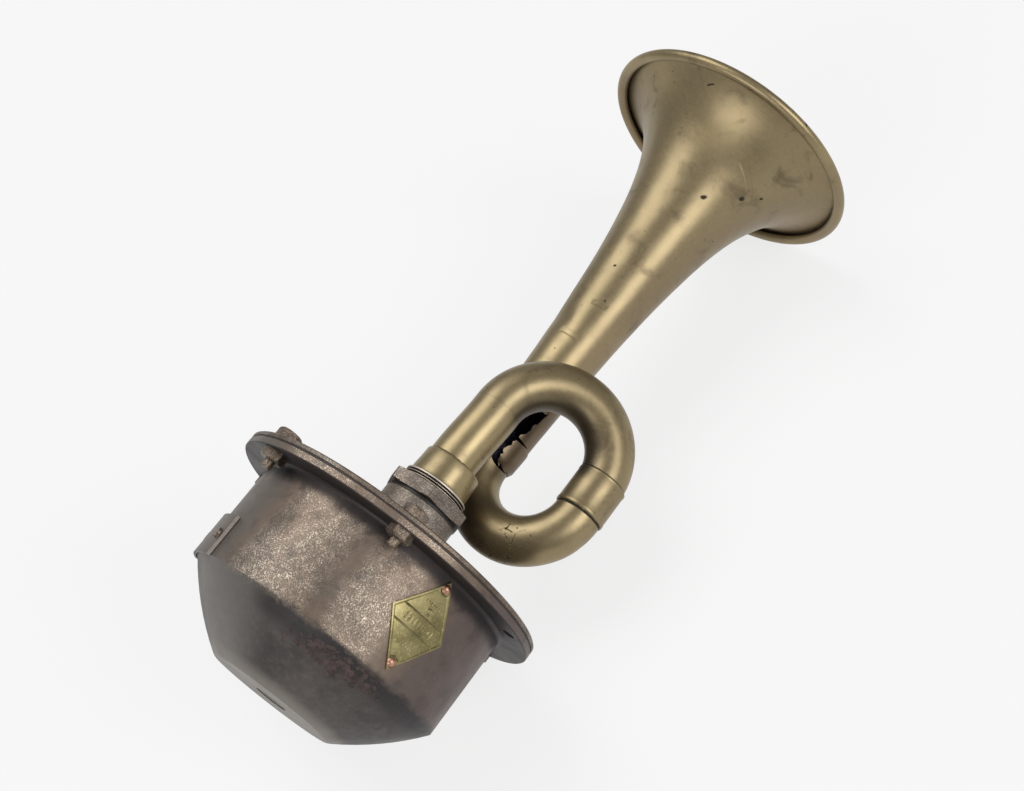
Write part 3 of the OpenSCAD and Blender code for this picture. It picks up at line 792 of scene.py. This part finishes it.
def to_hexagon(point):
    """Draws a turned point in to the nearest of six flats, then turns it to its rest."""
    radius = math.hypot(point.x, point.y)
    turn = math.degrees(math.atan2(point.y, point.x))
    flat = NUT_FLATS / 2 / math.cos(math.radians(turn % 60 - 30))
    swung = math.radians(turn + NUT_TURN)
    radius = min(radius, flat)
    return Vector((radius * math.cos(swung), radius * math.sin(swung), point.z))


nut_outline = [
    (THREAD_R + 0.1, NUT_FOOT_Z), (25.8, NUT_FOOT_Z), (27.9, NUT_FOOT_Z + 0.35),
    (28.4, NUT_FOOT_Z + 0.9), (28.5, NUT_TOP_Z - 1.1), (28.0, NUT_TOP_Z - 0.5),
    (26.4, NUT_TOP_Z), (THREAD_R + 0.9, NUT_TOP_Z), (THREAD_R + 0.1, NUT_TOP_Z - 0.8),
]
nut_points, nut_faces = lathe(nut_outline, 240, warp=to_hexagon)
nut = make_piece("worn_locknut", nut_points, nut_faces, "locknut", machined_iron)
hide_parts("locknut")

thread_outline = [
    (THROAT_R, THREAD_FOOT_Z), (THREAD_R, THREAD_FOOT_Z), (THREAD_R, FIRST_GROOVE_Z - 0.6),
]
for groove in [FIRST_GROOVE_Z + RIDGE_PITCH * i for i in range(GROOVES)]:
    thread_outline += [
        (THREAD_R - GROOVE_DEPTH, groove - 0.12), (THREAD_R - GROOVE_DEPTH, groove + 0.12),
        (THREAD_R, groove + 0.62), (THREAD_R, groove + 0.86),
    ]
thread_outline += [
    (THREAD_R, THREAD_TOP_Z - 0.5), (THREAD_R - 0.5, THREAD_TOP_Z), (THROAT_R, THREAD_TOP_Z),
]
thread_points, thread_faces = lathe(thread_outline, 144)
thread = make_piece("cut_thread", thread_points, thread_faces, "trumpet", thread_iron)
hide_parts("threaded_nipple")
print("nut faces:", len(nut.data.polygons), "thread faces:", len(thread.data.polygons))

# %% Horn socket
SOCKET_FOOT_Z = 195.0
SOCKET_TOP_Z = 213.5


def socket_outline():
    """A thin collar that bridges the leg and the stem, with its ends rounded by wear."""
    outside = [(TUBE_R + 0.4, SOCKET_FOOT_Z), (TUBE_R + 0.9, SOCKET_FOOT_Z + 0.5)]
    outside += [(flare(z) + 0.75, z) for z in (198, 200, 202, 204, 206, 208, 210, 212)]
    top_r = flare(SOCKET_TOP_Z)
    outside += [(top_r + 0.55, SOCKET_TOP_Z - 0.3), (top_r + 0.1, SOCKET_TOP_Z)]
    inside = [(flare(z) + 0.1, z) for z in (211, 209, 207)] + [(TUBE_R + 0.1, STEM_Z - 0.2)]
    return outside + inside + [(TUBE_R + 0.1, SOCKET_FOOT_Z + 3)]


socket_points, socket_faces = lathe(socket_outline(), 120, (HORN_X, HORN_Y), age_bell)
socket = make_piece("torn_socket", socket_points, socket_faces, "trumpet", bell_brass)
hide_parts("horn_socket")
print("socket faces:", len(socket.data.polygons))

# %% [markdown]
# ## The tear
# The brass behind the loop has cracked and torn open along the socket. A tear is easiest to see
# as a map: turn about the horn axis across, height up. Its ragged outline becomes a wedge that a
# Boolean takes out of the three walls, and the edge is then bent in and out as torn sheet is.

# %% Tear outline
TEAR = [
    # turn about the horn axis in degrees, height in millimetres
    (-60, 192.5), (-74, 195.5), (-78, 199.5), (-75, 201.0), (-81, 203.0), (-77, 206.0),
    (-72, 208.0), (-75, 210.5), (-66, 213.5), (-70, 216.5), (-62, 219.5), (-57, 223.5),
    (-60, 226.0), (-53, 231.0), (-49, 238.5), (-60, 241.5), (-82, 239.5), (-104, 236.0),
    (-112, 226.0), (-103, 214.0), (-107, 204.0), (-96, 197.0), (-84, 194.0),
]
CRACKS = [
    [(-62, 192.5), (-40, 193.0), (-22, 194.0), (-23, 194.5), (-42, 194.0), (-62, 195.5)],
    [(-70, 212.5), (-52, 213.0), (-34, 214.0), (-35, 214.5), (-54, 214.5), (-70, 215.0)],
]


def ragged(outline, seed):
    """Splits each side of an outline in three, with the new points a little off the line."""
    draw = random.Random(seed)
    degree = math.radians(TUBE_R)
    rough = []
    for here, there in zip(outline, outline[1:] + outline[:1]):
        rough.append(here)
        across = (there[0] - here[0]) * degree
        up = there[1] - here[1]
        for share in (0.3, 0.65):
            off = draw.uniform(-0.09, 0.09)
            turn = here[0] + (across * share - up * off) / degree
            rough.append((turn, here[1] + up * share + across * off))
    return rough


def wedge(name, outline, near_r=9.0, far_r=23.0):
    """A closed solid over an outline on the map, from one radius to another."""
    points = [
        (
            HORN_X + radius * math.cos(math.radians(turn)),
            HORN_Y + radius * math.sin(math.radians(turn)),
            height,
        )
        for radius in (near_r, far_r)
        for turn, height in outline
    ]
    count = len(outline)
    faces = [tuple(range(count)), tuple(range(2 * count - 1, count - 1, -1))]
    faces += [(i, i + count, (i + 1) % count + count, (i + 1) % count) for i in range(count)]
    mesh = bpy.data.meshes.new(name)
    mesh.from_pydata([BENCH @ Vector(p) for p in points], [], faces)
    solid = bmesh.new()
    solid.from_mesh(mesh)
    bmesh.ops.triangulate(solid, faces=solid.faces)
    bmesh.ops.recalc_face_normals(solid, faces=solid.faces)
    solid.to_mesh(mesh)
    solid.free()
    thing = bpy.data.objects.new(name, mesh)
    bpy.context.scene.collection.objects.link(thing)
    dress(thing, inner_brass)
    return thing


def carve(thing, cutter):
    """Takes the cutter out of a piece and keeps the result as its mesh."""
    cut = thing.modifiers.new("cut", "BOOLEAN")
    cut.object = cutter
    cut.operation = "DIFFERENCE"
    cut.solver = "EXACT"
    cut.material_mode = "TRANSFER"
    shaped = thing.evaluated_get(bpy.context.evaluated_depsgraph_get())
    mesh = bpy.data.meshes.new_from_object(shaped)
    thing.modifiers.clear()
    thing.data = mesh


tear_edge = ragged(TEAR, seed=4)
holes = [tear_edge] + CRACKS
for index, outline in enumerate(holes):
    cutter = wedge(f"tear_cutter_{index}", outline)
    for thing in (bell, lower_bend, socket):
        carve(thing, cutter)
    bpy.data.objects.remove(cutter)
print("torn faces:", [len(thing.data.polygons) for thing in (bell, lower_bend, socket)])

# %% Bend the lips of the tear
LIP = 1.7
TO_BENCH = BENCH.inverted()


def nearest_on_edge(turn, height, radius):
    """Distance in millimetres on the map from a point to the tear's edge."""
    best = 1e9
    here = Vector((math.radians(turn) * radius, height))
    for first, second in zip(tear_edge, tear_edge[1:] + tear_edge[:1]):
        start = Vector((math.radians(first[0]) * radius, first[1]))
        way = Vector((math.radians(second[0]) * radius, second[1])) - start
        share = max(0.0, min(1.0, (here - start).dot(way) / max(way.length_squared, 1e-9)))
        best = min(best, (here - start - way * share).length)
    return best


def bend_lips(thing):
    for vertex in thing.data.vertices:
        point = TO_BENCH @ vertex.co
        off = Vector((point.x - HORN_X, point.y - HORN_Y, 0))
        turn = math.degrees(math.atan2(off.y, off.x))
        if not (188 < point.z < 248 and -125 < turn < -35 and off.length < 24):
            continue
        away = nearest_on_edge(turn, point.z, off.length)
        if away > 3 * LIP:
            continue
        bend = 0.22 * noise.noise(Vector((turn * 0.12, point.z * 0.22, 3.0))) - 0.05
        push = off.normalized() * bend * math.exp(-((away / LIP) ** 2))
        vertex.co = BENCH @ (point + push)


def line_inside(thing):
    """Gives the walls seen through the tear the finish of the tube's inside."""
    names = [material.name for material in thing.data.materials]
    if inner_brass.material.name not in names:
        return
    for face in thing.data.polygons:
        point = TO_BENCH @ face.center
        off = Vector((point.x - HORN_X, point.y - HORN_Y, 0))
        outward = BENCH.to_3x3() @ off
        if 186 < point.z < 262 and off.length < 30 and face.normal.dot(outward) < 0:
            face.material_index = names.index(inner_brass.material.name)


for thing in (bell, lower_bend, socket):
    bend_lips(thing)
    line_inside(thing)
    smooth(thing, 50)
print("lips bent within", LIP * 3, "mm of the tear")

# %% [markdown]
# A tongue of the torn sheet still hangs at the top of the hole, curled outwards so that its edge
# catches the light. It is a small grid, thin, with a ragged free edge.

# %% Torn tongue
TONGUE_GRID = (9, 22)


def tongue_points(rows, columns):
    draw = random.Random(11)
    points = []
    for lower in range(2):
        for row in range(rows):
            hang = row / (rows - 1)
            for column in range(columns):
                along = column / (columns - 1)
                turn = -92 + 44 * along
                root = 241.0 - 2.0 * abs(along - 0.6)
                reach = 9.0 * (1 - along) + 1.2 + 0.5 * math.sin(9 * along)
                reach += draw.uniform(-0.1, 0.1)
                curl = 2.4 * hang**1.6 * math.sin(math.pi * min(1, along + 0.15))
                radius = flare(root) - 0.2 + curl - 0.5 * lower
                angle = math.radians(turn)
                points.append((
                    HORN_X + radius * math.cos(angle),
                    HORN_Y + radius * math.sin(angle),
                    root - reach * hang,
                ))
    return points


def slab_faces(rows, columns):
    """Both sides and the rim of a thin sheet whose two grids follow one another."""
    half = rows * columns
    faces = []
    for row in range(rows - 1):
        for column in range(columns - 1):
            here = row * columns + column
            quad = (here, here + 1, here + columns + 1, here + columns)
            faces.append(quad)
            faces.append(tuple(i + half for i in reversed(quad)))
    rim = list(range(columns))
    rim += [row * columns + columns - 1 for row in range(1, rows)]
    rim += [(rows - 1) * columns + column for column in range(columns - 2, -1, -1)]
    rim += [row * columns for row in range(rows - 2, 0, -1)]
    faces += [(rim[i], rim[i - 1], rim[i - 1] + half, rim[i] + half) for i in range(len(rim))]
    return faces


tongue = make_piece(
    "torn_tongue", tongue_points(*TONGUE_GRID), slab_faces(*TONGUE_GRID),
    "trumpet", bright_brass,
)
print("tongue faces:", len(tongue.data.polygons))

# %% [markdown]
# ## The embossed nameplate
# The diamond plate is thin brass that follows the can, with a raised border, two ridges across
# and a pressed ring round each rivet. Where the maker's words were, it has plain lozenges and
# dots. The grid runs parallel to the diamond's sides, so the border needs no trimming.

# %% Nameplate
PLATE_TURN = -63.3
PLATE_Z = 71.6
PLATE_HALF_W = 19.4
PLATE_HALF_H = 28.8
PLATE_RIVET_Z = 24.1
PLATE_T = 1.0
PLATE_GRID = (150, 150)
RELIEF = 0.5


def step_down(value, edge, soft):
    """1 below the edge and 0 above it, with a soft step."""
    share = max(0.0, min(1.0, (edge + soft - value) / (2 * soft)))
    return share * share * (3 - 2 * share)


def plate_relief(s, t, u, v):
    border = 1 - step_down(max(abs(s), abs(t)), 0.925, 0.012)
    ridges = max(step_down(abs(v - 4.7), 0.30, 0.18), step_down(abs(v + 4.9), 0.30, 0.18))
    to_rivet = min(math.hypot(u, v - side * PLATE_RIVET_Z) for side in (-1, 1))
    rivets = step_down(abs(to_rivet - 3.7), 0.25, 0.2)
    marks = 0.0
    if abs(v) < 4:
        step = (u + 1.25) % 2.5 - 1.25
        if abs(u) < 12:
            marks = step_down(abs(step) / 0.55 + abs(v) / 2.3, 1.0, 0.25)
    elif abs(abs(v) - 13.2) < 2:
        step = (u + 0.9) % 1.8 - 0.9
        if abs(u) < 6:
            marks = step_down(math.hypot(step, abs(v) - 13.2), 0.5, 0.22)
    elif 6 < v < 11 and abs(u) < 4:
        marks = step_down(abs(math.hypot(u, v - 8.8) - 1.6), 0.3, 0.2)
    wear = 0.75 + 0.5 * noise.noise(Vector((u * 0.12, v * 0.12, 0)))
    return RELIEF * max(border, ridges * wear, rivets * 0.8, marks * wear)


def plate_points(rows, columns):
    points = []
    for lower in range(2):
        for row in range(rows):
            for column in range(columns):
                s = -1 + 2 * row / (rows - 1)
                t = -1 + 2 * column / (columns - 1)
                u = PLATE_HALF_W * (s + t) / 2
                v = PLATE_HALF_H * (t - s) / 2
                dish = 0.12 * noise.noise(Vector((u * 0.07, v * 0.07, 5)))
                height = 0.02 if lower else PLATE_T - 0.3 + plate_relief(s, t, u, v) + dish
                angle = math.radians(PLATE_TURN) + math.asin(u / CAN_R)
                radius = CAN_R + height
                points.append((radius * math.cos(angle), radius * math.sin(angle), PLATE_Z + v))
    return points


plate = make_piece(
    "embossed_plate", plate_points(*PLATE_GRID), slab_faces(*PLATE_GRID),
    "driver", plate_brass,
)
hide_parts("nameplate")
print("plate faces:", len(plate.data.polygons))

# %% [markdown]
# ## Crust on the bowl
# Under the plate the bowl has rusted through its paint into a scab of crust and pits. It is a
# patch that follows the casting's own outline, lifted by a noise that is kept only where it is
# strong, and it sinks into the wall round its edge so that no border shows.

# %% Crust
BASE_FLAT_R = 41.0
CRUST_TURN = -76.0
CRUST_ALONG = 0.79
CRUST_GRID = (110, 150)
BOWL_OUTWARD = 0.72
BOWL_DOWNWARD = -0.69


def bowl_point(share):
    """Radius and height on the bowl's outside, from the flat end (0) to the shoulder (1)."""
    start = Vector((BASE_FLAT_R + 1, 1.0))
    end = Vector((CAN_R, BOWL_Z))
    sag = 2.3
    way = end - start
    out = Vector((way.y, -way.x)).normalized()
    return start + way * share + out * sag * 4 * share * (1 - share)


def crust_points(rows, columns):
    points = []
    for lower in range(2):
        for row in range(rows):
            share = 0.36 + 0.62 * row / (rows - 1)
            for column in range(columns):
                turn = CRUST_TURN - 30 + 60 * column / (columns - 1)
                radius, height = bowl_point(share)
                angle = math.radians(turn)
                spot = Vector((radius * math.cos(angle), radius * math.sin(angle), height))
                beside = turn - CRUST_TURN
                off = math.hypot(beside / 21, (share - CRUST_ALONG - 0.002 * beside) / 0.13)
                off += 0.45 * noise.fractal(spot * 0.16, 0.8, 2.1, 3)
                keep = step_down(off, 1.0, 0.3)
                scab = 0.5 + 0.5 * noise.fractal(spot * 0.32, 0.8, 2.1, 4)
                fine = 0.5 + 0.5 * noise.fractal(spot * 1.1, 0.8, 2.1, 3)
                lift = keep * (0.9 * max(0.0, scab - 0.42) * 1.6 + 0.3 * fine * scab)
                push = -0.6 if lower else -0.12 + lift
                out_x, out_y = math.cos(angle) * BOWL_OUTWARD, math.sin(angle) * BOWL_OUTWARD
                points.append(tuple(spot + Vector((out_x, out_y, BOWL_DOWNWARD)) * push))
    return points


crust = make_piece(
    "rust_crust", crust_points(*CRUST_GRID), slab_faces(*CRUST_GRID),
    "driver", scab,
)
print("crust faces:", len(crust.data.polygons))

# %% [markdown]
# ## Floor and light
# A plain pale floor that glows a little, so that shadows stay faint, and soft studio light: broad
# lamps above, in front and to the left, and a grey surround that the brass can reflect.

# %% Floor and lights
bpy.ops.mesh.primitive_plane_add(size=14, location=(0, 0, 0))
floor = bpy.context.object
floor.name = "floor"
paper = Finish("paper_floor", Roughness=0.9)
paper.feed("Base Color", paper.mix(paper.grain(3, 3), (0.11, 0.11, 0.11), (0.12, 0.12, 0.12)))
paper.shader.inputs["Emission Color"].default_value = (1, 1, 1, 1)
paper.shader.inputs["Emission Strength"].default_value = 0.77
dress(floor, paper)

world = bpy.data.worlds.new("surround")
bpy.context.scene.world = world
world.use_nodes = True
world.node_tree.nodes["Background"].inputs["Color"].default_value = (1, 1, 1, 1)
world.node_tree.nodes["Background"].inputs["Strength"].default_value = 0.36


LAMP_DISTANCE = 3.0
LIT_POINT = Vector((0, 0, 0.08))


def softbox(name, towards, size, power):
    """A square lamp that stands off the loudspeaker in one direction and faces it."""
    lamp = bpy.data.lights.new(name, "AREA")
    lamp.shape = "SQUARE"
    lamp.size = size
    lamp.energy = power
    thing = bpy.data.objects.new(name, lamp)
    place = LIT_POINT + Vector(towards).normalized() * LAMP_DISTANCE
    thing.matrix_world = look(place, LIT_POINT)
    bpy.context.scene.collection.objects.link(thing)


softbox("overhead_light", (0.08, 0.42, 0.90), 2.0, 50)
softbox("front_light", (0.11, -0.83, 0.55), 1.6, 48)
softbox("side_light", (-0.87, -0.10, 0.48), 1.8, 34)
